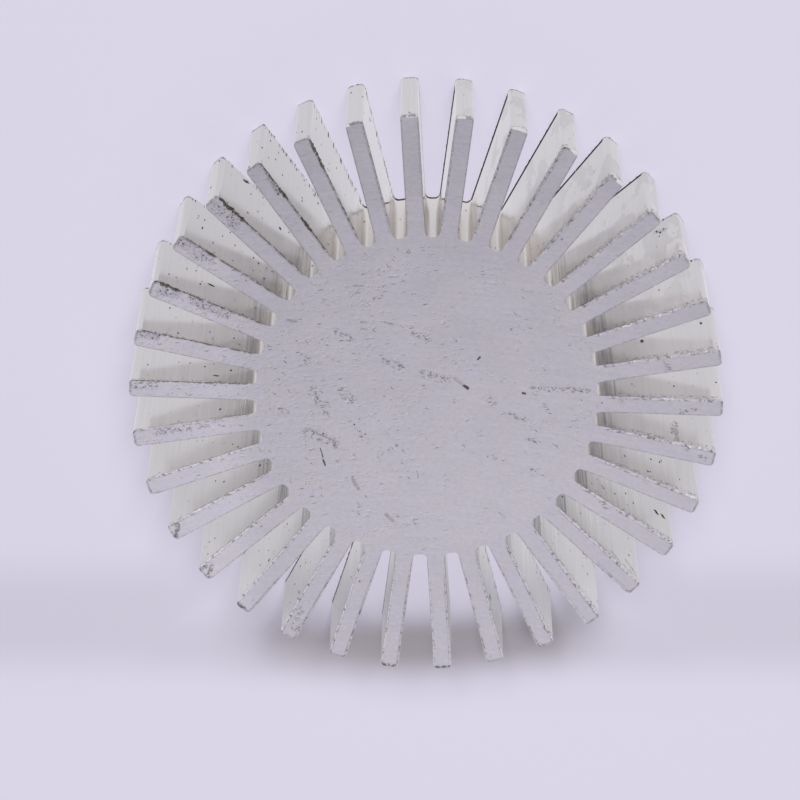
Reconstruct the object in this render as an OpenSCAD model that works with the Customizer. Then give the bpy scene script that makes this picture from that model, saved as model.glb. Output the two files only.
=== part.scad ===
// Sunflower heat sink: a slice sawn from an extruded aluminium bar.
// The bar has a solid round core and a ring of straight, even fins that stand out from it.
// The slice lies on one sawn face, with the bar's axis along Z and the origin at that face's centre.

/* [Bar] */
// Width over two opposite fin tips
outer_d = 60; // [48:0.5:90]
// Diameter of the solid core, at the floor of the slots
core_d = 34.4; // [26:0.2:44]
// Length of the slice along the bar
slice_h = 12.5; // [5:0.5:60]

/* [Fins] */
// Number of fins round the core
fin_count = 34; // [12:1:40]
// Thickness of a fin
fin_t = 1.8; // [1:0.05:2.4]
// Fillet radius where a fin meets the core
root_r = 0.5; // [0.1:0.05:0.8]
// Radius on the two long edges of a fin's tip
tip_r = 0.45; // [0.1:0.05:0.8]

/* [Hidden] */
$fn = 64;

pitch = 360 / fin_count;
core_r = core_d / 2;

// Room between two fins at the core, and the least share of it that stays flat between two fillets
root_gap = 2 * core_r * sin(pitch / 2) - fin_t;
floor_share = 0.1;
fillet_r = min(root_r, root_gap * (1 - floor_share) / 2);

// Centre of a fillet, whose lower end runs on inside the core by a hair
fillet_sink = 0.01;
fillet_y = fin_t / 2 + fillet_r;
fillet_x = sqrt(core_r * core_r - fillet_y * fillet_y) - fillet_sink + fillet_r;

// Centres of the two rounded edges of a tip, with at least a narrow flat between them
tip_flat_min = 0.1;
edge_r = min(tip_r, (fin_t - tip_flat_min) / 2);
edge_x = outer_d / 2 - edge_r;
edge_y = fin_t / 2 - edge_r;

// One blade along +X, from the axis to its flat tip with two rounded edges
module blade() {
    translate([0, -fin_t / 2]) square([edge_x, fin_t]);
    translate([0, -edge_y]) square([outer_d / 2, 2 * edge_y]);
    for (side = [-1, 1])
        translate([edge_x, side * edge_y]) circle(edge_r);
}

// The foot that widens a blade into the core by a fillet on each side
module foot() {
    difference() {
        translate([0, -fillet_y]) square([fillet_x, 2 * fillet_y]);
        for (side = [-1, 1])
            translate([fillet_x, side * fillet_y]) circle(fillet_r);
    }
}

// The bar's section, with its first fin along +Y
module bar_section() {
    circle(core_r);
    for (i = [0 : fin_count - 1])
        rotate(90 + i * pitch) {
            blade();
            foot();
        }
}

module heat_sink() {
    color("gainsboro") linear_extrude(slice_h) bar_section();
}

heat_sink();
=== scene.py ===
import math

import bpy
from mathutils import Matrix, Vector


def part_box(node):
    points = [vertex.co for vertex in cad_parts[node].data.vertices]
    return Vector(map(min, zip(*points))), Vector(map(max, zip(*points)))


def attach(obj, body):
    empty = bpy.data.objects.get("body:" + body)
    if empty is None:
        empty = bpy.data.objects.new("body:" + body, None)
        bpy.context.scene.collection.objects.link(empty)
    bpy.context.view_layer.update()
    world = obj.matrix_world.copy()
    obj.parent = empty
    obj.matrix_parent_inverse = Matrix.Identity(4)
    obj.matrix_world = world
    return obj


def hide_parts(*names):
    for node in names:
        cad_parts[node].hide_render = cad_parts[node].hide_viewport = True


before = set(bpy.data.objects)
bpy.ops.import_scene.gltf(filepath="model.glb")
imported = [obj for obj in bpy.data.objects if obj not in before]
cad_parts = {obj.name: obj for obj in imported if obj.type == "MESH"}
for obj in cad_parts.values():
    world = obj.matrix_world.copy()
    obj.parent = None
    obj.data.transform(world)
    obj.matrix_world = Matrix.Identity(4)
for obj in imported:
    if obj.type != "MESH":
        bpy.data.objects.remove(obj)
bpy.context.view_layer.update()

# The slice: one piece of extruded aluminium bar, sawn off square at both ends and not coated.
# A solid round core carries straight fins of even thickness, with a filleted slot between each two.
# The saw left a ragged burr on the edges of both cuts, mostly on the sides of the fins that face +Y.
mm = 0.001
low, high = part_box("heat_sink")
fin_count = 34
fin_pitch = 2 * math.pi / fin_count
fin_thickness = 1.8
core_radius = 17.2

bar_sizes = {
    "Fins": fin_count,
    "Fin reach": (high.y - low.y) / 2,
    "Core radius": core_radius * mm,
    "Fin thickness": fin_thickness * mm,
    "Root fillet": 0.5 * mm,
    "Tip rounding": 0.45 * mm,
    "Length": high.z - low.z,
    "Edge break": 0.03 * mm,
    "Nick depth": 0.10 * mm,
    "Rim width": 0.30 * mm,
    "Upper burr": 0.24 * mm,
    "Lower burr": 0.08 * mm,
    "Point spacing": 0.15 * mm,
}
bar_tree = bpy.data.node_groups.new("finned_bar", "GeometryNodeTree")
bar_sockets = {}
for name, value in bar_sizes.items():
    kind = "NodeSocketInt" if isinstance(value, int) else "NodeSocketFloat"
    bar_sockets[name] = bar_tree.interface.new_socket(name, in_out="INPUT", socket_type=kind)
bar_tree.interface.new_socket("Geometry", in_out="OUTPUT", socket_type="NodeSocketGeometry")

sawn_skin = bpy.data.materials.new("sawn_end")
mill_skin = bpy.data.materials.new("mill_finish")
burr_skin = bpy.data.materials.new("burred_edge")


class Wire:
    """An output socket of a node tree. Sums on it add Math nodes, and add() makes any other node."""

    def __init__(self, tree, socket=None):
        self.tree = tree
        self.socket = socket

    def add(self, kind, settings=None, inputs=None, output=0):
        node = self.tree.nodes.new(kind)
        for name, value in (settings or {}).items():
            setattr(node, name, value)
        for key, value in (inputs or {}).items():
            for one in value if isinstance(value, list) else [value]:
                if isinstance(one, Wire):
                    self.tree.links.new(one.socket, node.inputs[key])
                else:
                    node.inputs[key].default_value = one
        return Wire(self.tree, node.outputs[output] if node.outputs else None)

    def out(self, output):
        return Wire(self.tree, self.socket.node.outputs[output])

    def math(self, operation, *others):
        return self.add("ShaderNodeMath", {"operation": operation}, dict(enumerate((self, *others))))

    def __add__(self, other):
        return self.math("ADD", other)

    def __mul__(self, other):
        return self.math("MULTIPLY", other)

    def __sub__(self, other):
        return self.math("SUBTRACT", other)

    def __rsub__(self, other):
        return self.add("ShaderNodeMath", {"operation": "SUBTRACT"}, {0: other, 1: self})

    def __truediv__(self, other):
        return self.math("DIVIDE", other)

    __radd__ = __add__
    __rmul__ = __mul__

    def vector(self, operation, other, output=0):
        return self.add("ShaderNodeVectorMath", {"operation": operation}, {0: self, 1: other}, output)

    def shade(self, vector):
        """A colour or a vector multiplied by this value."""
        return self.add("ShaderNodeVectorMath", {"operation": "SCALE"}, {0: vector, "Scale": self})

    def times(self, factor):
        """This vector multiplied by a factor."""
        return self.add("ShaderNodeVectorMath", {"operation": "SCALE"}, {0: self, "Scale": factor})

    def step(self, start, end):
        """0 where the value is at start, 1 where it is at end, and smooth between them."""
        inputs = {"Value": self, "From Min": start, "From Max": end}
        return self.add("ShaderNodeMapRange", {"interpolation_type": "SMOOTHSTEP"}, inputs)

    def noise(self, scale, detail=2.0, roughness=0.5):
        """Cloudy noise about 0.5, read at this place."""
        inputs = {"Vector": self, "Scale": scale, "Detail": detail, "Roughness": roughness}
        return self.add("ShaderNodeTexNoise", None, inputs)


bar = Wire(bar_tree)
given = bar.add("NodeGroupInput")
fins = given.out("Fins")
thickness = given.out("Fin thickness")
length = given.out("Length")
edge_break = given.out("Edge break")
rim_width = given.out("Rim width")

# Four corners to a fin, counted clockwise from +Y: foot, tip, tip, foot
corner = bar.add("GeometryNodeInputIndex")
fin = (corner / 4).math("FLOOR")
turn = fin / fins * (2 * math.pi)
at_tip = (corner - 4 * fin).math("COMPARE", 1.5, 0.6)
far_side = (corner - 4 * fin).math("GREATER_THAN", 1.5)
foot_reach = (given.out("Core radius").math("POWER", 2) - (thickness / 2).math("POWER", 2)).math("SQRT")
along = foot_reach + at_tip * (given.out("Fin reach") - foot_reach)
across = (far_side - 0.5) * thickness
corner_place = bar.add("ShaderNodeCombineXYZ", None, {
    "X": along * turn.math("SINE") + across * turn.math("COSINE"),
    "Y": along * turn.math("COSINE") - across * turn.math("SINE"),
})
root_fillet = given.out("Root fillet")
corner_radius = root_fillet + at_tip * (given.out("Tip rounding") - root_fillet)

outline = bar.add("GeometryNodeCurvePrimitiveCircle", None, {"Resolution": 4 * fins})
outline = bar.add("GeometryNodeSetPosition", None, {"Geometry": outline, "Position": corner_place})
outline = bar.add("GeometryNodeFilletCurve", {"mode": "POLY"}, {
    "Curve": outline, "Count": 8, "Radius": corner_radius, "Limit Radius": True,
})
outline = bar.add("GeometryNodeResampleCurve", {"mode": "LENGTH"}, {
    "Curve": outline, "Length": given.out("Point spacing"),
})


def keep(curve, name, value, kind="FLOAT"):
    """The curve with a value kept on its points by name, and that value as read back later."""
    curve = bar.add("GeometryNodeStoreNamedAttribute", {"data_type": kind, "domain": "POINT"}, {
        "Geometry": curve, "Name": name, "Value": value,
    })
    return curve, bar.add("GeometryNodeInputNamedAttribute", {"data_type": kind}, {"Name": name})


tangent = bar.add("GeometryNodeInputTangent")
outward = bar.add("ShaderNodeVectorMath", {"operation": "CROSS_PRODUCT"}, {0: (0, 0, 1), 1: tangent})
outline, outward = keep(outline, "outward", outward, "FLOAT_VECTOR")


def on_fin(fin, reach, aside=0.0):
    """A point of a fin's end, so far from the bar's axis and so far clockwise of the fin's middle."""
    turn = fin * fin_pitch
    along = Vector((math.sin(turn), math.cos(turn), 0))
    return along * reach + Vector((along.y, -along.x, 0)) * aside


def near_any(shares):
    """A mask from distances that are each given as a share of a mark's half width."""
    least = shares[0]
    for share in shares[1:]:
        least = least.math("MINIMUM", share)
    return least.step(1.0, 0.4)


def marks(place, lines):
    """A mask over straight marks, each from one point to another with a half width."""
    asides = []
    for start, end, half_width in lines.values():
        start = Vector((*start, 0)[:3])
        run = Vector((*end, 0)[:3]) - start
        from_start = place.vector("SUBTRACT", start)
        share = from_start.vector("DOT_PRODUCT", run / run.length_squared, "Value")
        share = place.add("ShaderNodeClamp", None, {"Value": share})
        asides.append(from_start.vector("DISTANCE", share.shade(run), "Value") / half_width)
    return near_any(asides)


# The burr hangs on the sides that face +Y, in long runs on the upper cut and in crumbs on the lower one
burr_runs = {
    "fin 28": (on_fin(28, 29.3, 0.9), on_fin(28, 27.9, 0.9), 0.8),
    "fin 29": (on_fin(29, 26.7, 0.9), on_fin(29, 26.2, 0.9), 0.3),
    "fin 30": (on_fin(30, 28.6, 0.9), on_fin(30, 26.8, 0.9), 1.2),
    "fin 30 spike": (on_fin(30, 27.9, 0.9), on_fin(30, 27.7, 0.9), 0.4),
    "fin 31": (on_fin(31, 26.3, 0.9), on_fin(31, 25.7, 0.9), 0.5),
    "fin 31 inner": (on_fin(31, 22.6, 0.9), on_fin(31, 21.4, 0.9), 0.4),
    "fin 32": (on_fin(32, 29.0, 0.9), on_fin(32, 26.6, 0.9), 0.4),
}
place = bar.add("GeometryNodeInputPosition").times(1 / mm)
place_axes = bar.add("ShaderNodeSeparateXYZ", None, {0: place})
facing = bar.add("ShaderNodeSeparateXYZ", None, {0: outward}, "Y")
ragged = place.noise(3.0, 3, 0.7)
left_side = place_axes.step(6, -8)
upper_burr = given.out("Upper burr") * facing.step(0.0, 0.5) * ragged.step(0.30, 0.75)
upper_burr = upper_burr * (0.25 + 0.15 * left_side + 0.6 * marks(place, burr_runs))
crumbs = place.vector("ADD", (40, 0, 0)).noise(3.0, 2, 0.6).step(0.52, 0.64)
lower_burr = given.out("Lower burr") * facing.step(-0.3, 0.2) * crumbs * ragged.step(0.1, 0.6)
nicks = place.vector("ADD", (0, 40, 0)).noise(2.4, 3, 0.7).step(0.60, 0.80)
broken = edge_break + given.out("Nick depth") * nicks
outline, lower_lip = keep(outline, "lower lip", lower_burr - broken)
outline, upper_lip = keep(outline, "upper lip", upper_burr - broken)
outline, curl = keep(outline, "curl", upper_burr * 0.25)


def push(distance, rise=0.0):
    """A shift of outline points away from the metal by distance, and up by rise."""
    up = bar.add("ShaderNodeCombineXYZ", None, {"Z": rise})
    return outward.times(distance).vector("ADD", up)


def raise_ring(mesh, edge, height, skin, shift):
    """One more band on that edge, as high as height, and the band's own edge, which is then shifted."""
    lift = bar.add("ShaderNodeCombineXYZ", None, {"Z": height})
    band = bar.add("GeometryNodeExtrudeMesh", {"mode": "EDGES"}, {
        "Mesh": mesh, "Selection": edge, "Offset": lift,
    })
    mesh = bar.add("GeometryNodeSetMaterial", None, {
        "Geometry": band, "Selection": band.out("Side"), "Material": skin,
    })
    mesh = bar.add("GeometryNodeSetPosition", None, {
        "Geometry": mesh, "Selection": band.out("Top"), "Offset": push(*shift),
    })
    return mesh, band.out("Top")


# The skin is raised ring by ring: lower rim, lower edge, wall, upper edge, upper rim and a flat margin
margin = rim_width * 0.2
walls = bar.add("GeometryNodeCurveToMesh", None, {"Curve": outline})
inner_edge = bar.add("GeometryNodeSetPosition", None, {
    "Geometry": walls, "Offset": push((rim_width + margin) * -1),
})
walls = inner_edge
edge = True
for height, skin, shift in (
    (0.0, sawn_skin, (margin,)),
    (0.0, sawn_skin, (rim_width + lower_lip,)),
    (2 * edge_break, burr_skin, (lower_lip * -1,)),
    (edge_break, mill_skin, (0.0,)),
    (length - 6 * edge_break, mill_skin, (0.0,)),
    (edge_break, mill_skin, (0.0,)),
    (2 * edge_break, burr_skin, (upper_lip, curl)),
    (0.0, sawn_skin, ((upper_lip + rim_width) * -1, curl * -1)),
    (0.0, sawn_skin, (margin * -1,)),
):
    walls, edge = raise_ring(walls, edge, height, skin, shift)


def end_face(height):
    """The flat of a sawn end inside its rim, lying at that height."""
    rim = bar.add("GeometryNodeMeshToCurve", None, {"Mesh": inner_edge})
    face = bar.add("GeometryNodeFillCurve", {"mode": "NGONS"}, {"Curve": rim})
    lift = bar.add("ShaderNodeCombineXYZ", None, {"Z": height})
    face = bar.add("GeometryNodeSetPosition", None, {"Geometry": face, "Offset": lift})
    return bar.add("GeometryNodeSetMaterial", None, {"Geometry": face, "Material": sawn_skin})


lower_face = bar.add("GeometryNodeFlipFaces", None, {"Mesh": end_face(0.0)})
whole = bar.add("GeometryNodeJoinGeometry", None, {"Geometry": [walls, end_face(length), lower_face]})
whole = bar.add("GeometryNodeMergeByDistance", None, {"Geometry": whole, "Distance": 0.001 * mm})
whole = bar.add("GeometryNodeRealizeInstances", None, {"Geometry": whole})
bar.add("NodeGroupOutput", None, {"Geometry": whole})

heat_slice = bpy.data.objects.new("heat_sink_slice", bpy.data.meshes.new("heat_sink_slice"))
bpy.context.scene.collection.objects.link(heat_slice)
maker = heat_slice.modifiers.new("finned_bar", "NODES")
maker.node_group = bar_tree
for name, value in bar_sizes.items():
    maker[bar_sockets[name].identifier] = value
dressed = heat_slice.evaluated_get(bpy.context.evaluated_depsgraph_get())
slice_mesh = bpy.data.meshes.new_from_object(dressed)
heat_slice.modifiers.remove(maker)
heat_slice.data = slice_mesh
slice_mesh.shade_smooth()
slice_mesh.set_sharp_from_angle(angle=math.radians(25))


def start_skin(material):
    """The cleared tree of a material, and the place on the object in millimetres."""
    material.use_nodes = True
    material.node_tree.nodes.clear()
    skin = Wire(material.node_tree)
    return skin, skin.add("ShaderNodeTexCoord", None, None, "Object").times(1 / mm)


soot_and_shade_colour = (0.03, 0.026, 0.022, 1)


def dress(skin, colour, roughness, relief, dirt=None):
    """Ends a skin as bare metal with a relief in millimetres, and a dark matt coat where the mask given
    as dirt is 1, which also paints shade on the walls.
    """
    bump = skin.add("ShaderNodeBump", None, {"Strength": 1.0, "Distance": mm, "Height": relief})
    surface = skin.add("ShaderNodeBsdfPrincipled", None, {
        "Metallic": 1.0, "Base Color": colour, "Roughness": roughness, "Normal": bump,
    })
    if dirt is not None:
        soot_and_shade = skin.add("ShaderNodeBsdfDiffuse", None, {"Color": soot_and_shade_colour})
        surface = skin.add("ShaderNodeMixShader", None, {0: dirt, 1: surface, 2: soot_and_shade})
    skin.add("ShaderNodeOutputMaterial", None, {"Surface": surface})


def cover(mask, base, over):
    """The colour base where the mask is 0 and over where it is 1."""
    inputs = {"Factor": mask, "A": base, "B": over}
    return mask.add("ShaderNodeMix", {"data_type": "RGBA"}, inputs, "Result")


def fin_axes(x, y):
    """Distance from the bar's axis, the nearest fin's turn from +Y, and the place along and across it."""
    from_axis = (x * x + y * y).math("SQRT")
    turn = x.math("ARCTAN2", y)
    fin_turn = (turn / fin_pitch).math("ROUND") * fin_pitch
    off_turn = turn - fin_turn
    return from_axis, fin_turn, from_axis * off_turn.math("COSINE"), from_axis * off_turn.math("SINE")


def side_facing(fin_turn, across):
    """How far a fin's side faces +Y, from -1 to 1."""
    return across.math("SIGN") * fin_turn.math("SINE") * -1


def dots(place, cell, radius, share):
    """Round dots, a share of one to each cell, of uneven size up to the radius."""
    found = place.add("ShaderNodeTexVoronoi", None, {"Vector": place, "Scale": 1 / cell})
    chance = place.add("ShaderNodeSeparateColor", None, {0: found.out("Color")})
    size = (1 - chance / share) * (radius / cell)
    return (found - size).step(0.04, -0.04) * chance.math("LESS_THAN", share)


def strokes(place, degrees, length, width, share):
    """Short straight scratches at one angle, a share of one to each cell of that length and width."""
    turned = place.add("ShaderNodeVectorRotate", {"rotation_type": "Z_AXIS"}, {
        "Vector": place, "Angle": math.radians(degrees),
    })
    cells = turned.vector("MULTIPLY", (1 / length, 1 / width, 0))
    flat = {"voronoi_dimensions": "2D"}
    found = place.add("ShaderNodeTexVoronoi", flat, {"Vector": cells, "Scale": 1.0})
    chance = place.add("ShaderNodeSeparateColor", None, {0: found.out("Color")})
    return found.step(0.38, 0.18) * chance.math("LESS_THAN", share)


# Sawn ends: satin grey with fine curved saw lines, scuffed and nicked in handling.
# The larger marks lie where the photograph shows them, and the small ones are random.
gouges = {
    "nick right of the middle": ((3.9, 1.1), (4.25, 0.8), 0.20),
    "small nick above it": ((5.65, 4.1), (5.4, 3.85), 0.12),
    "dot on the right": ((9.75, 0.0), (9.95, -0.05), 0.19),
    "upright scratch": ((-11.05, -4.85), (-10.85, -5.8), 0.07),
    "end of that scratch": ((-10.8, -6.2), (-10.65, -6.75), 0.12),
    "dark dot at the left": ((-10.65, -3.25), (-10.6, -3.3), 0.11),
    "dark dot below the middle": ((-7.4, -2.45), (-7.35, -2.5), 0.10),
}
dents = {
    "smear before the nick": ((3.0, 1.95), (4.2, 0.85), 0.24),
    "upper oval": ((-7.95, -8.4), (-7.45, -9.5), 0.26),
    "lower oval": ((-4.8, -12.5), (-4.15, -13.2), 0.26),
    "dash at the top left": ((-6.6, 12.45), (-5.6, 12.35), 0.13),
    "slash under that dash": ((-5.9, 12.1), (-7.0, 11.15), 0.07),
    "middle of the upright scratch": ((-10.9, -5.6), (-10.75, -6.4), 0.08),
    "first of two dashes": ((-6.1, 8.5), (-5.5, 8.5), 0.15),
    "second of two dashes": ((-6.0, 7.8), (-5.5, 7.75), 0.13),
    "dash beside them": ((-3.7, 8.35), (-2.8, 8.1), 0.16),
    "blots at the left rim": ((-13.4, 9.15), (-12.6, 8.95), 0.22),
    "streak at the lower left": ((-11.2, -3.3), (-9.9, -3.9), 0.16),
    "blot below that streak": ((-9.6, -4.2), (-9.5, -4.8), 0.30),
    "dash at the lower right": ((6.7, -12.9), (7.3, -13.5), 0.10),
    "stroke under the middle": ((-1.4, -7.9), (-1.3, -8.6), 0.11),
}
hatched = {
    "left of the nick": ((-0.3, 2.7), (2.1, 1.8), 0.60),
    "right of the nick": ((6.1, -0.3), (6.8, -1.1), 0.50),
    "row on the right": ((10.7, 0.4), (16.3, -0.1), 0.42),
    "below the row": ((7.5, -2.0), (9.7, -2.8), 0.45),
    "fork on the right": ((11.9, -1.3), (12.3, -2.4), 0.32),
    "under the fork": ((10.0, -4.9), (11.0, -5.4), 0.35),
    "right rim": ((12.6, -5.9), (13.1, -6.2), 0.30),
    "lower right": ((10.2, -8.2), (11.6, -9.0), 0.30),
    "low middle right": ((5.9, -6.7), (7.5, -7.1), 0.28),
    "left cluster": ((-11.4, 1.4), (-10.2, -0.8), 0.75),
    "beside the left cluster": ((-8.6, 1.1), (-7.4, 0.2), 0.60),
    "lower left cluster": ((-12.3, -3.0), (-9.6, -4.3), 0.70),
    "left rim": ((-14.8, -0.4), (-14.2, -0.8), 0.40),
    "above the middle": ((-0.8, 7.0), (0.6, 6.3), 0.45),
    "mid left": ((-3.9, 4.3), (-2.3, 3.4), 0.50),
    "upper left": ((-8.6, 7.7), (-7.2, 6.8), 0.50),
    "far upper left": ((-10.2, 6.7), (-9.8, 6.0), 0.45),
    "under the upper left": ((-9.0, 4.7), (-8.6, 4.2), 0.35),
    "far left": ((-12.1, 5.2), (-11.8, 4.5), 0.40),
    "top left": ((-9.6, 11.0), (-9.2, 10.6), 0.35),
    "top": ((-4.6, 10.9), (-3.8, 11.1), 0.30),
    "top rim": ((-1.9, 15.9), (-0.9, 15.7), 0.35),
    "right shoulder": ((10.2, 11.1), (11.1, 10.9), 0.30),
    "slanting line": ((-5.2, -6.1), (-3.1, -4.9), 0.22),
    "lower middle": ((-7.0, -3.1), (-6.8, -3.8), 0.28),
    "fin 8": ((24.2, 2.4), (24.5, 1.7), 0.45),
    "fin 9": ((25.4, -2.9), (27.0, -2.9), 0.45),
    "foot of fin 9": ((19.5, -1.0), (19.7, -1.6), 0.35),
    "fin 10": ((25.8, -6.3), (26.1, -7.0), 0.40),
    "tip of fin 10": ((27.4, -7.9), (27.8, -8.1), 0.35),
    "fin 12": ((17.2, -12.4), (17.6, -12.9), 0.40),
    "fin 20": ((-14.3, -22.6), (-14.9, -24.6), 0.60),
    "fin 25": (on_fin(25, 27.6, 0.3), on_fin(25, 22.6, 0.4), 0.50),
    "tip of fin 26": (on_fin(26, 29.4, 0.3), on_fin(26, 27.4, 0.4), 0.55),
}
dirty = {
    "fin 30 outer": ((-19.6, 21.3), (-19.3, 21.1), 0.80),
    "fin 30 inner": ((-18.3, 20.4), (-18.0, 19.6), 0.80),
    "fin 29 outer": ((-23.4, 18.0), (-22.3, 17.5), 0.80),
    "fin 29 inner": ((-22.0, 16.5), (-20.6, 16.4), 0.75),
    "fin 28 outer": ((-25.6, 13.0), (-24.4, 12.7), 0.85),
    "fin 28 middle": ((-22.6, 11.9), (-21.6, 11.2), 0.85),
    "fin 28 inner": ((-20.9, 11.0), (-19.4, 10.2), 0.80),
    "fin 27": ((-28.0, 8.5), (-26.6, 8.1), 0.6),
    "fin 31": ((-14.4, 24.6), (-13.4, 22.6), 0.4),
}
knocks = {
    "fin 23": (on_fin(23, 29.8, -0.7), on_fin(23, 28.9, 0.5), 0.35),
    "fin 22": (on_fin(22, 29.7, 0.7), on_fin(22, 29.2, 0.5), 0.35),
    "fin 22 again": (on_fin(22, 29.7, -0.5), on_fin(22, 28.7, 0.1), 0.30),
    "fin 21": (on_fin(21, 29.8, 0.7), on_fin(21, 29.8, -0.1), 0.30),
    "fin 18": (on_fin(18, 29.8, 0.7), on_fin(18, 29.8, -0.7), 0.22),
    "fin 17": (on_fin(17, 29.8, 0.7), on_fin(17, 29.8, -0.7), 0.18),
    "fin 15 side": ((9.1, -25.8), (9.2, -26.2), 0.22),
    "fin 15 corner": ((10.1, -27.8), (10.4, -28.1), 0.25),
    "fin 15": ((10.8, -26.0), (11.2, -26.4), 0.30),
}
# Painted glints: runs along the torn edges where near-white metal stands in for highlights
painted_glint_runs = {
    "fin 5": (on_fin(5, 25.5, -0.9), on_fin(5, 28.9, -0.9), 0.40),
    "fin 6": (on_fin(6, 26.4, -0.9), on_fin(6, 29.5, -0.9), 0.40),
    "fin 7": (on_fin(7, 23.7, -0.9), on_fin(7, 28.1, -0.9), 0.50),
    "fin 7 inner": (on_fin(7, 20.3, -0.9), on_fin(7, 22.0, -0.9), 0.40),
    "foot of fin 7": (on_fin(7, 17.5, -1.0), on_fin(7, 18.9, -0.9), 0.40),
    "fin 8": (on_fin(8, 24.7, -0.9), on_fin(8, 29.5, -0.9), 0.40),
    "fin 8 inner": (on_fin(8, 20.0, -0.9), on_fin(8, 21.9, -0.9), 0.35),
    "fin 9": (on_fin(9, 23.6, -0.9), on_fin(9, 25.6, -0.9), 0.40),
    "fin 10": (on_fin(10, 24.7, -0.9), on_fin(10, 29.5, -0.9), 0.45),
    "fin 11": (on_fin(11, 27.4, -0.9), on_fin(11, 29.7, -0.9), 0.40),
    "fin 24": (on_fin(24, 21.4, 0.9), on_fin(24, 22.4, 0.9), 0.40),
    "fin 22": (on_fin(22, 26.4, 0.9), on_fin(22, 27.5, 0.9), 0.40),
}
skin, spot = start_skin(sawn_skin)
axes = skin.add("ShaderNodeSeparateXYZ", None, {0: spot})
x, y, z = axes, axes.out("Y"), axes.out("Z")
on_top = z.step(6, 7)
from_axis, fin_turn, along, across = fin_axes(x, y)

saw_x, saw_y = -14.0, -115.0
saw_radius = ((x - saw_x).math("POWER", 2) + (y - saw_y).math("POWER", 2)).math("SQRT")
saw_turn = (x - saw_x).math("ARCTAN2", y - saw_y) * -saw_y
saw_place = skin.add("ShaderNodeCombineXYZ", None, {"X": saw_turn, "Y": saw_radius, "Z": z})
saw_lines = saw_place.vector("MULTIPLY", (0.09, 1, 1)).noise(3.0, 3, 0.65)
grain = saw_place.vector("MULTIPLY", (0.55, 1, 1)).noise(3.2, 3, 0.7)
mottle = spot.noise(0.22, 3, 0.6)
tint = spot.vector("ADD", (0, 0, 30)).noise(0.3, 2)

wobble = spot.add("ShaderNodeTexNoise", None, {"Vector": spot, "Scale": 1.8, "Detail": 2.0}, "Color")
wobble = wobble.vector("SUBTRACT", (0.5, 0.5, 0.5)).vector("MULTIPLY", (0.2, 0.2, 0))
level_spot = spot.vector("MULTIPLY", (1, 1, 0))
flat_place = level_spot.vector("ADD", wobble)
hatching = strokes(flat_place, 58, 0.7, 0.20, 0.55)
hatching = hatching.math("MAXIMUM", strokes(flat_place, -28, 0.8, 0.19, 0.50))
hatching = hatching.math("MAXIMUM", strokes(flat_place, 8, 0.7, 0.20, 0.40))
loose = strokes(flat_place, 48, 0.8, 0.20, 0.02)
loose = loose.math("MAXIMUM", strokes(flat_place, -8, 0.9, 0.20, 0.03))
worn = spot.noise(0.5, 3, 0.6) + 0.13 * x.step(6, -8) + 0.06 * y.step(-8, 6) - 0.06
left_fins = x.step(-12, -18) * y.step(-14, -6)
on_core = 0.35 + 0.65 * from_axis.step(18, 16).math("MAXIMUM", left_fins)
broken_up = 0.35 + 0.65 * spot.noise(4.0, 2, 0.7).step(0.42, 0.56)
scuffs = hatching * marks(flat_place, hatched) * on_top
scuffs = scuffs.math("MAXIMUM", loose * worn.step(0.42, 0.60) * on_core) * broken_up
speck_place = saw_place.vector("MULTIPLY", (0.5, 1, 1))
specks = speck_place.noise(4.2, 3, 0.8).step(0.57, 0.65) * worn.step(0.44, 0.60) * on_core
# Painted highlight: a pale copy of the specks, set a little towards -Y, paints a lit side beside each one
# as if it were raised
painted_lit_speck_sides = speck_place.vector("ADD", (0.05, -0.12, 0)).noise(4.2, 3, 0.8).step(0.57, 0.65)
painted_lit_speck_sides = painted_lit_speck_sides * worn.step(0.44, 0.60) * on_core * (1 - specks)
gouged = marks(flat_place, gouges) * on_top
dented = marks(flat_place, dents) * on_top * grain.step(0.30, 0.55)
pits = dots(spot, 1.6, 0.11, 0.3)
film = marks(flat_place, dirty) * on_top
crumbs = dots(flat_place, 0.24, 0.13, 0.8).math("MAXIMUM", spot.noise(4.4, 4, 0.85).step(0.54, 0.59))
soiled = film * crumbs

edge_in = fin_thickness / 2 - across.math("ABSOLUTE")
upper_side = side_facing(fin_turn, across)
fin_end = along.step(17.6, 18.4)
ragged = spot.noise(2.4, 3, 0.7)
heavy = marks(level_spot, burr_runs) * on_top
# Grime and painted shade: a dark ragged line on the upper edges of the left fins, where dirt lies and the
# burr shades the edge
grime_and_shade_side = upper_side.step(0.05, 0.45) * fin_end * on_top * x.step(2, -6) * y.step(-4, 4)
line_width = 0.05 + (0.09 + 0.30 * heavy) * ragged.step(0.36, 0.66)
burr_line_grime_and_shade = (edge_in - line_width).step(0.05, -0.03) * grime_and_shade_side
burr_line_grime_and_shade = burr_line_grime_and_shade * (ragged + 0.3 * heavy).step(0.38, 0.50)
fray = 0.26 + 0.10 * x.step(8, 16)
low_left = x.step(-6, -12) * y.step(2, -4)
torn_side = upper_side.step(-0.2, 0.4).math("MAXIMUM", y.step(-17, -21) * 0.8)
torn = (edge_in - fray).step(0.0, -0.14) * fin_end * torn_side
flecks = torn * ragged.step(0.53, 0.59) * (1 - grime_and_shade_side)
painted_glint_run = marks(level_spot, painted_glint_runs) * on_top
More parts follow.
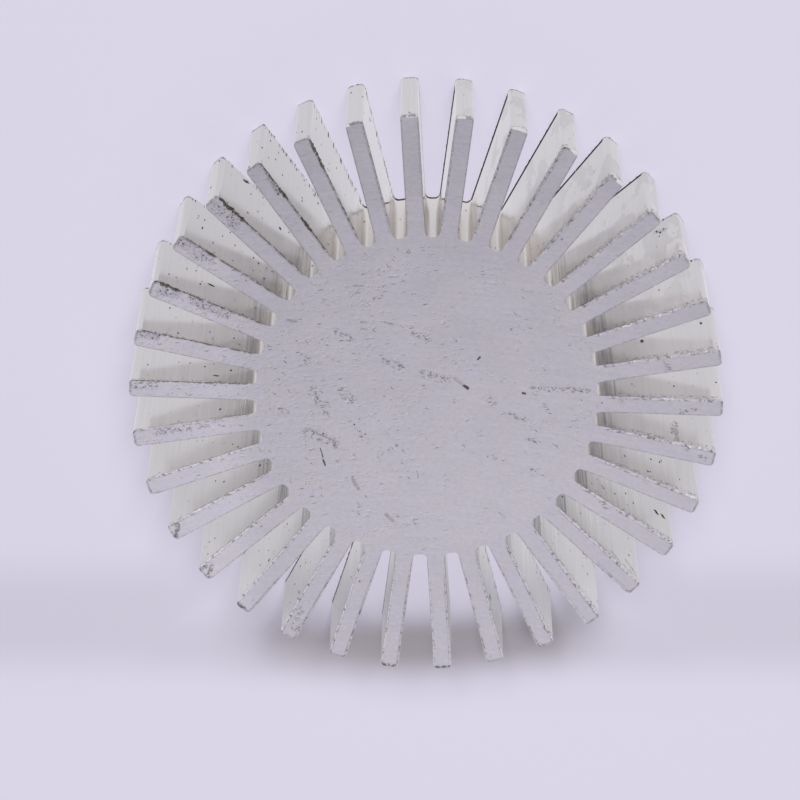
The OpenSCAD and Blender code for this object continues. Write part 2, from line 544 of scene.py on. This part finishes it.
# Painted glints: flecks of near-white metal along the torn edges and on the top tips stand in for
# highlights
painted_glints = (spot.noise(4.0, 4, 0.8) + 0.07 * painted_glint_run).step(0.58, 0.63)
painted_glints = painted_glints * spot.noise(1.2, 2).step(0.44, 0.54).math("MAXIMUM", low_left * 0.35)
painted_glints = painted_glints * torn * (0.25 + 0.35 * x.step(-4, 4) + 0.6 * painted_glint_run) * (1 - grime_and_shade_side)
painted_tip_glints = along.step(29.60, 29.80) * y.step(10, 20) * x.step(-12, -6)
painted_glints = painted_glints.math("MAXIMUM", painted_tip_glints * spot.noise(1.2, 1).step(0.52, 0.58))
lower_line = edge_in.step(0.16, 0.08) * fin_end * upper_side.step(0.1, -0.2) * ragged.step(0.35, 0.60)
tip_line = along.step(29.66, 29.84) * ragged.step(0.30, 0.60)
knocked = marks(level_spot, knocks) * on_top * ragged.step(0.40, 0.55)

tone = 0.70 + 0.16 * saw_lines + 0.30 * grain + 0.12 * mottle
# Painted light and shade: the face is lighter on the left fins and darker at the top and at the bottom,
# as the light falls on it
tone = tone + 0.16 * x.step(-16, -22) - 0.06 * y.step(14, 26) - 0.05 * y.step(-10, -22)
cool_metal = (0.555, 0.540, 0.594)
warm_metal = (0.567, 0.545, 0.583)
colour = cover(tint.step(0.35, 0.65), tone.shade(cool_metal), tone.shade(warm_metal))
black_grime_and_shade = (0.03, 0.025, 0.02, 1)
olive_grime_and_shade = (0.17, 0.145, 0.075, 1)
layers = {
    "specks": (specks * 0.42, (0.17, 0.155, 0.16, 1)),
    "light sides of the specks": (painted_lit_speck_sides * 0.34, (0.88, 0.86, 0.90, 1)),
    "scuffs": (scuffs * 0.78, (0.15, 0.135, 0.145, 1)),
    "dents": (dented * 0.50, (0.20, 0.185, 0.20, 1)),
    "gouges": (gouged * 0.85, (0.05, 0.045, 0.045, 1)),
    "film of dirt": (film * mottle.step(0.3, 0.6) * 0.20, (0.25, 0.20, 0.24, 1)),
    "crumbs of dirt": (soiled * 0.80, (0.09, 0.068, 0.065, 1)),
    "pits": (pits * 0.75, (0.08, 0.07, 0.07, 1)),
    "dark flecks": (flecks * 0.7, (0.11, 0.095, 0.08, 1)),
    "edge lines": ((lower_line * 0.45).math("MAXIMUM", tip_line * 0.5), (0.14, 0.13, 0.13, 1)),
    "knocked tips": (knocked * 0.7, (0.06, 0.06, 0.065, 1)),
    "painted_glints": (painted_glints * 0.9, (0.95, 0.94, 0.92, 1)),
    "burr": (burr_line_grime_and_shade * 0.9, cover((ragged - 0.02 * heavy).step(0.45, 0.60), black_grime_and_shade, olive_grime_and_shade)),
}
for mask, layer_colour in layers.values():
    colour = cover(mask, colour, layer_colour)
roughness = 0.40 + 0.08 * mottle + 0.10 * scuffs + 0.10 * soiled - 0.12 * torn
relief = 0.003 * saw_lines + 0.003 * grain + 0.05 * torn * ragged
dress(skin, colour, roughness, relief)

# Extruded walls: bright mill finish with die lines along the bar and small black pits, longer along the
# bar than across it. Painted light and shade trim the tone by region, towards the light and dark of the
# photograph's walls.
wall_dots = {
    "fin 28": ((-23.6, 12.75, 5.7), 0.11),
    "fin 30 middle": ((-13.88, 16.55, 5.7), 0.22),
    "fin 30 beside it": ((-13.07, 15.67, 4.5), 0.12),
    "fin 30 outer": ((-16.69, 19.64, 3.5), 0.11),
    "fin 30 far": ((-15.62, 18.47, 1.4), 0.11),
    "fin 30 near": ((-15.92, 18.80, 6.6), 0.11),
    "fin 31 outer": ((-13.62, 23.71, 3.0), 0.12),
    "fin 31 far": ((-12.03, 21.14, 0.9), 0.18),
    "fin 31 inner": ((-10.4, 18.5, 1.6), 0.19),
    "fin 31 beside it": ((-10.0, 17.9, 2.4), 0.17),
    "fin 33": ((-4.15, 27.1, 4.3), 0.24),
    "fin 29 outer": ((-20.5, 16.6, 9.2), 0.12),
    "fin 29 far": ((-21.65, 17.47, 7.2), 0.10),
    "fin 29 inner": ((-16.65, 13.7, 9.9), 0.12),
    "fin 27": ((-19.12, 6.38, 9.4), 0.11),
    "fin 26 outer": ((-22.38, 2.98, 8.1), 0.11),
    "fin 26 inner": ((-19.71, 2.73, 8.9), 0.14),
    "fin 25": ((-21.05, -1.05, 9.9), 0.17),
    "fin 24 outer": ((-19.99, -4.75, 10.3), 0.11),
    "fin 24 inner": ((-19.41, -4.59, 11.6), 0.11),
    "fin 23": ((-21.34, -9.62, 8.4), 0.13),
    "fin 23 outer": ((-22.31, -10.1, 6.9), 0.10),
    "fin 23 inner": ((-17.48, -7.7, 9.2), 0.16),
    "fin 22": ((-22.77, -16.07, 7.9), 0.11),
    "fin 21 outer": ((-18.23, -18.66, 9.5), 0.12),
    "fin 21 inner": ((-17.17, -17.5, 11.0), 0.18),
    "fin 7": ((24.1, 7.8, 5.7), 0.11),
    "fin 8": ((22.1, 2.95, 7.3), 0.26),
    "fin 8 outer": ((28.28, 3.52, 4.5), 0.20),
    "fin 9 outer": ((29.45, -1.83, 7.6), 0.12),
    "fin 9 middle": ((25.11, -1.42, 9.1), 0.12),
    "fin 9 inner": ((20.87, -1.03, 8.9), 0.10),
    "fin 11 outer": ((23.6, -10.74, 6.0), 0.12),
    "fin 11 middle": ((22.54, -10.22, 6.8), 0.13),
    "fin 11 inner": ((22.07, -9.99, 10.6), 0.14),
    "fin 6": ((24.20, 13.0, 2.7), 0.15),
    "fin 6 above it": ((24.55, 13.2, 3.6), 0.17),
    "fin 6 beside it": ((24.90, 13.4, 3.0), 0.13),
    "fin 6 over them": ((24.40, 13.1, 4.5), 0.13),
    "fin 13": ((17.5, -17.9, 2.7), 0.16),
    "fin 16": ((5.27, -23.3, 10.1), 0.34),
}
wall_dashes = {
    "fin 28": ((-21.3, 11.6, 7.5), (-21.0, 11.45, 7.6), 0.32),
    "fin 30": ((-17.35, 20.35, 1.4), (-17.1, 20.1, 0.9), 0.38),
    "fin 26": ((-21.33, 2.88, 10.5), (-20.99, 2.84, 10.6), 0.24),
    "fin 12 outer": ((23.45, -16.58, 6.5), (23.61, -16.70, 7.1), 0.27),
    "fin 12 inner": ((22.78, -16.07, 6.5), (22.96, -16.21, 7.1), 0.27),
}
wall_scuffs = {
    "crumbs on fin 6": ((24.2, 13.0, 2.8), (24.9, 13.4, 3.4), 0.60),
    "upright scuff on fin 10": ((25.2, -6.25, 6.8), (25.1, -6.2, 12.0), 0.34),
    "stroke beside it": ((24.8, -6.15, 7.6), (24.7, -6.1, 10.4), 0.20),
    "inner scuff on fin 13": ((18.1, -18.55, 11.2), (18.4, -18.85, 11.5), 0.50),
    "outer scuff on fin 13": ((19.5, -20.1, 10.0), (20.2, -20.8, 11.0), 0.50),
}
skin, spot = start_skin(mill_skin)
axes = skin.add("ShaderNodeSeparateXYZ", None, {0: spot})
x, y, z = axes, axes.out("Y"), axes.out("Z")
from_axis, fin_turn, along, across = fin_axes(x, y)
drawn = spot.vector("MULTIPLY", (1, 1, 0.012))
die_lines = drawn.noise(2.6, 4, 0.65)
die_bands = drawn.noise(0.8, 2)
dot_squeeze = Vector((1, 1, 0.4))
squeezed = spot.vector("MULTIPLY", dot_squeeze)
asides = []
for centre, radius in wall_dots.values():
    asides.append(squeezed.vector("DISTANCE", Vector(centre) * dot_squeeze, "Value") / radius)
dotted = (x.step(6, -4) * y.step(-8, 12)).math("MAXIMUM", y.step(-14, -20))
dotted = dotted.math("MAXIMUM", x.step(8, 14) * y.step(-6, -10))
pits = dots(squeezed, 0.6, 0.11, 0.6) * (0.25 + 0.6 * dotted)
chipped = spot.noise(5.0, 2, 0.7)
pits = pits.math("MAXIMUM", dots(squeezed, 2.2, 0.11, 0.25) * 0.8)
single = near_any(asides).math("MAXIMUM", marks(spot, wall_dashes))
pits = pits.math("MAXIMUM", single * chipped.step(0.34, 0.44))
scuffs = marks(spot, wall_scuffs) * chipped.step(0.46, 0.56)
foot = from_axis.step(20.0, 18.4)
slot_floor = from_axis.step(17.95, 17.6)
pits = pits.math("MAXIMUM", dots(squeezed, 0.7, 0.11, 0.5) * slot_floor * y.step(10, 14) * 0.6)
below_top = (y - 2.5 * x.step(-4, -10)).step(15, 11)
right_side = x.step(10, 16)
rubbed = y.step(-2, -8)
# Painted shade: a darker block at the slot roots, less dark on the upper left and darker on the low walls
painted_root_shade = from_axis.step(19.25, 19.05) * (1 - slot_floor) * below_top
# Die streaks along the bar, much stronger at the fins' feet, where they also paint the shade of the slot
# roots
streaks_and_root_shade = drawn.noise(6.0, 2, 0.6).step(0.46, 0.62) * (0.12 + 0.88 * foot * below_top)
streaks_and_root_shade = streaks_and_root_shade * (1 - slot_floor)
stains = squeezed.noise(0.4, 4, 0.55).step(0.50, 0.53)
stains = stains * x.step(2, 8) * y.step(4, 12) * along.step(20, 24)

# Painted shade and grime along the far edge, where the walls meet the floor: solid in the slots and right
# of +Y, dotted left of it, thin at the tips
speckle = spot.vector("MULTIPLY", (1, 1, 0)).noise(4.5, 2, 0.6)
right_fins = x.step(0, 3) * y.step(12, 17)
low_fins = x.step(-1, -4) * y.step(-13, -18)
top_fins = x.step(-9, -6) * x.step(4, 2) * y.step(15, 18)
at_tip = along.step(29.3, 29.6)
away = side_facing(fin_turn, across).step(-0.05, -0.12) * (1 - at_tip) * (1 - slot_floor)
spread = fin_turn.math("SINE").math("ABSOLUTE").math("MAXIMUM", 0.32 - 0.17 * right_fins)
rise = z * spread.math("MAXIMUM", slot_floor).math("MAXIMUM", at_tip * 1.5)
caught_grime_and_shade = speckle.step(0.56, 0.62).math("MAXIMUM", slot_floor * y.step(12, 15))
caught_grime_and_shade = caught_grime_and_shade.math("MAXIMUM", top_fins * speckle.step(0.52, 0.58))
caught_grime_and_shade = caught_grime_and_shade.math("MAXIMUM", right_fins * speckle.step(0.25, 0.32))
caught_grime_and_shade = caught_grime_and_shade.math("MAXIMUM", low_fins * speckle.step(0.25, 0.50) * 0.8)
caught_grime_and_shade = (1 - at_tip) * caught_grime_and_shade + at_tip * speckle.step(0.35, 0.60) * 0.7
far_edge_shade_and_grime = (rise + 0.18 * low_fins + 0.08 * right_fins).step(0.64, 0.50) * caught_grime_and_shade * (1 - away)
frayed = x.step(8, 16)
crumbled = spot.vector("MULTIPLY", (1, 1, 0.6)).noise(3.6, 4, 0.8)
near_edge = (z + 0.5 * frayed).step(11.8, 12.3) * crumbled.step(0.52, 0.59) * along.step(18, 19)

low_walls = y.step(-2, -14)
top_walls = y.step(12, 24) * (1 - at_tip)
top_right = x.step(2, 8) * y.step(15, 20)
top_left = x.step(-4, -10) * y.step(8, 14)
top_foot = foot * (1 - below_top)
low_right = x.step(3, 6) * y.step(-14, -18) * along.step(24, 20)
lined = 0.06 + 0.55 * low_walls * x.step(4, 12) * along.step(28, 22)
# Painted shade: a dark line along the edge of the root shade on the right walls
painted_root_shade_line = (from_axis - 19.1).math("ABSOLUTE").step(0.14, 0.05) * x.step(6, 12) * below_top
tone = 0.97 + lined * (die_lines - 0.5) + 0.08 * die_bands - (0.26 + 0.14 * low_walls) * streaks_and_root_shade
upper_left = x.step(-10, -16) * y.step(-4, 2)
tone = tone - 0.11 * stains - 0.22 * painted_root_shade_line
tone = tone - (0.05 - 0.08 * upper_left + 0.20 * low_walls - 0.02 * right_side) * painted_root_shade
# Painted shade on the low walls, the inner low right walls, the top walls and the upper left, and painted
# light at the feet of the top slots
tone = tone - 0.08 * low_walls - 0.07 * low_right
tone = tone - 0.09 * top_walls - 0.07 * top_left +(0.36 - 0.14 * slot_floor) * top_foot
# Painted reflection: the sides that face away from +Y, seen only mirrored in the walls beside them,
# darker towards the root and lighter towards the tips
echo_side = x.step(2, 10) * y.step(0, 8)
painted_reflection_tone = along.step(20, 26) * (0.12 + 0.16 * echo_side) - 0.07 - 0.03 * echo_side + 0.12 * top_right
tone = tone + away * painted_reflection_tone
wall_metal = (0.735, 0.715, 0.700)
slot_metal = (0.725, 0.700, 0.655)
scuff_colour = (0.12, 0.10, 0.07, 1)
colour = cover(slot_floor, tone.shade(wall_metal), tone.shade(slot_metal))
colour = cover(scuffs * 0.75, colour, scuff_colour)
roughness = 0.07 + 0.10 * die_bands + 0.3 * pits + 0.05 * stains + 0.22 * top_foot + 0.09 * rubbed
relief = (0.003 + 0.003 * foot) * die_lines + 0.002 * die_bands
# The dark coat holds pits and dirt, and along the far edge painted shade as well
dirt = (pits * 0.95).math("MAXIMUM", near_edge * 0.55).math("MAXIMUM", far_edge_shade_and_grime * 0.95)
dress(skin, colour, roughness, relief, dirt)

# Cut edges: torn metal, black with grime and painted shade on the lower cut, and dark brown with grime
# and painted shade on the heavy burrs
skin, spot = start_skin(burr_skin)
flecks = spot.noise(2.6, 3, 0.7)
axes = skin.add("ShaderNodeSeparateXYZ", None, {0: spot})
height = axes.out("Z")
_, fin_turn, _, across = fin_axes(axes, axes.out("Y"))
# Grime and painted shade: black on the lower cut's edges that face away from +Y, dark brown on the heavy
# burrs of the upper cut
lower_cut_grime_and_shade = flecks.step(0.62, 0.46) * height.step(7, 5) * side_facing(fin_turn, across).step(-0.12, -0.05)
heavy_burr_grime_and_shade = marks(spot.vector("MULTIPLY", (1, 1, 0)), burr_runs) * height.step(6, 7)
torn_metal = (0.80, 0.785, 0.74, 1)
edge_grime_and_shade = (0.025, 0.022, 0.02, 1)
dark_burr_grime_and_shade = (0.05, 0.04, 0.025, 1)
pale_burr_grime_and_shade = (0.20, 0.165, 0.085, 1)
colour = cover(lower_cut_grime_and_shade, torn_metal, edge_grime_and_shade)
colour = cover(heavy_burr_grime_and_shade * 0.9, colour, cover(flecks.step(0.46, 0.60), dark_burr_grime_and_shade, pale_burr_grime_and_shade))
roughness = 0.25 + 0.3 * flecks
dress(skin, colour, roughness, 0.03 * flecks)

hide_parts("heat_sink")
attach(heat_slice, "root")

# The floor: a pale matt sheet of paper that the slice lies on, wide enough to fill the picture.
# It glows for the camera and the metal alike, but less past the fins that point to -Y, where the slice
# stands in its own light. A soft band of painted shade and a painted shadow patch at those fins are part
# of its colour.
paper_colour = (0.78, 0.76, 0.87, 1)
painted_shadow_colour = (0.42, 0.36, 0.34, 1)
glow_colour = (0.740, 0.702, 0.843, 1)
metal_glow_colour = (0.790, 0.780, 0.835, 1)
floor_half = 3.0
floor_drop = -0.02 * mm
floor_corners = [(-1, -1), (1, -1), (1, 1), (-1, 1)]
floor_mesh = bpy.data.meshes.new("floor")
floor_points = [(a * floor_half, b * floor_half, floor_drop) for a, b in floor_corners]
floor_mesh.from_pydata(floor_points, [], [(0, 1, 2, 3)])
floor = bpy.data.objects.new("floor", floor_mesh)
bpy.context.scene.collection.objects.link(floor)
paper = bpy.data.materials.new("pale_paper")
paper.use_nodes = True
paper.node_tree.nodes.clear()
sheet = Wire(paper.node_tree)
ray = sheet.add("ShaderNodeLightPath")
spot = sheet.add("ShaderNodeTexCoord", None, None, "Object").times(1 / mm)
from_axis = spot.vector("LENGTH", (0, 0, 0), "Value")
floor_x = sheet.add("ShaderNodeSeparateXYZ", None, {0: spot})
floor_y = floor_x.out("Y")
aside = (floor_x + 3).math("ABSOLUTE")
past_tips = from_axis.step(26.5, 32) * from_axis.step(41, 34)
past_tips = past_tips * floor_y.step(-24.5, -31) * aside.step(24, 14)
# Painted shadow: a darker, browner patch of paper just past the fins that point to -Y
painted_contact_shadow = floor_y.step(-28.5, -32) * floor_y.step(-38, -33.5) * aside.step(24, 12)
# Inside the fins' reach the glow is stronger for the camera, which lifts the shade in the slots
camera_glow = 0.55 + 0.25 * from_axis.step(32, 22) - 0.55 * past_tips
own_shade = (floor_y + 0.1 * floor_x).step(-20, -30) * aside.step(22, 14)
metal_glow = 0.95 + 0.05 * from_axis.step(30, 32) - 0.6 * own_shade
glow_share = ray.out("Is Camera Ray") * camera_glow + ray.out("Is Glossy Ray") * metal_glow
# Painted shade: a soft band beyond the -Y fins and out to both sides, with the paper a little lighter
# further out
down = floor_y + 0.058 * floor_x
painted_shade_band = down.step(-21, -28) * down.step(-38, -32) * aside.step(19, 27) * aside.step(85, 45)
painted_shade_band_near_slice = down.step(-27, -32) * down.step(-38, -33) * aside.step(8, 16) * aside.step(40, 26)
painted_shading = 1 - 0.115 * painted_shade_band.math("MAXIMUM", painted_shade_band_near_slice) + 0.03 * down.step(-34, -42)
paper_tint = painted_shading.shade(cover(painted_contact_shadow * 0.5, paper_colour, painted_shadow_colour))
matt = sheet.add("ShaderNodeBsdfDiffuse", None, {"Color": paper_tint})
glow_tint = cover(ray.out("Is Glossy Ray"), painted_shading.shade(glow_colour[:3]), metal_glow_colour)
glow = sheet.add("ShaderNodeEmission", None, {"Color": glow_tint, "Strength": 1.0})
mixed = sheet.add("ShaderNodeMixShader", None, {0: glow_share, 1: matt, 2: glow})
sheet.add("ShaderNodeOutputMaterial", None, {"Surface": mixed})
floor_mesh.materials.append(paper)

# The light: a pale tent all round, a large soft lamp on the side of +Y, and a small one near by that
# brightens the face of the slice towards -Y. The lamps hang in the tent and aren't in the picture.
# The metal mirrors the sides of the tent brighter than its top.
tent_colour = (0.70, 0.68, 0.74, 1)
tent_strength = 0.20
tent = bpy.data.worlds.new("tent")
bpy.context.scene.world = tent
tent.use_nodes = True
tent.node_tree.nodes.clear()
cloth = Wire(tent.node_tree)
in_metal = cloth.add("ShaderNodeLightPath", None, None, "Is Glossy Ray")
direction = cloth.add("ShaderNodeTexCoord", None, None, "Generated")
up = cloth.add("ShaderNodeSeparateXYZ", None, {0: direction}, "Z")
sides = up.math("ABSOLUTE").step(0.5, 0.1)
strength = tent_strength + in_metal * (0.22 + 0.50 * sides)
sky = cloth.add("ShaderNodeBackground", None, {"Color": tent_colour, "Strength": strength})
cloth.add("ShaderNodeOutputWorld", None, {"Surface": sky})


def soft_lamp(name, place, width, height, watts, colour):
    """A soft lamp, a rectangle that points at the middle of the slice."""
    data = bpy.data.lights.new(name, "AREA")
    data.shape = "RECTANGLE"
    data.size = width
    data.size_y = height
    data.energy = watts
    data.color = colour
    lamp = bpy.data.objects.new(name, data)
    lamp.location = place
    lamp.rotation_euler = (-Vector(place)).to_track_quat("-Z", "Y").to_euler()
    bpy.context.scene.collection.objects.link(lamp)


soft_lamp("key", (0.05, 0.38, 0.72), width=0.35, height=0.35, watts=4.7, colour=(0.97, 0.97, 1))
soft_lamp("fill", (0.005, -0.138, 0.22), width=0.20, height=0.10, watts=0.084, colour=(0.98, 0.96, 1))

# The camera: it looks down on the slice as the photograph looks at its face, with +Y up in the picture.
# Its place, turn and long lens were fitted to the fin tips and slot floors in the photograph.
camera_place = Vector((9.73, 163.51, 435.79))
camera_turn = (-21.18, 0.38, -3.35)
camera_data = bpy.data.cameras.new("camera")
camera_data.lens = 202.4
camera_data.sensor_width = 36
camera = bpy.data.objects.new("camera", camera_data)
camera.location = camera_place * mm
camera.rotation_euler = [math.radians(angle) for angle in camera_turn]
bpy.context.scene.collection.objects.link(camera)
bpy.context.scene.camera = camera
bpy.context.scene.view_settings.view_transform = "Standard"
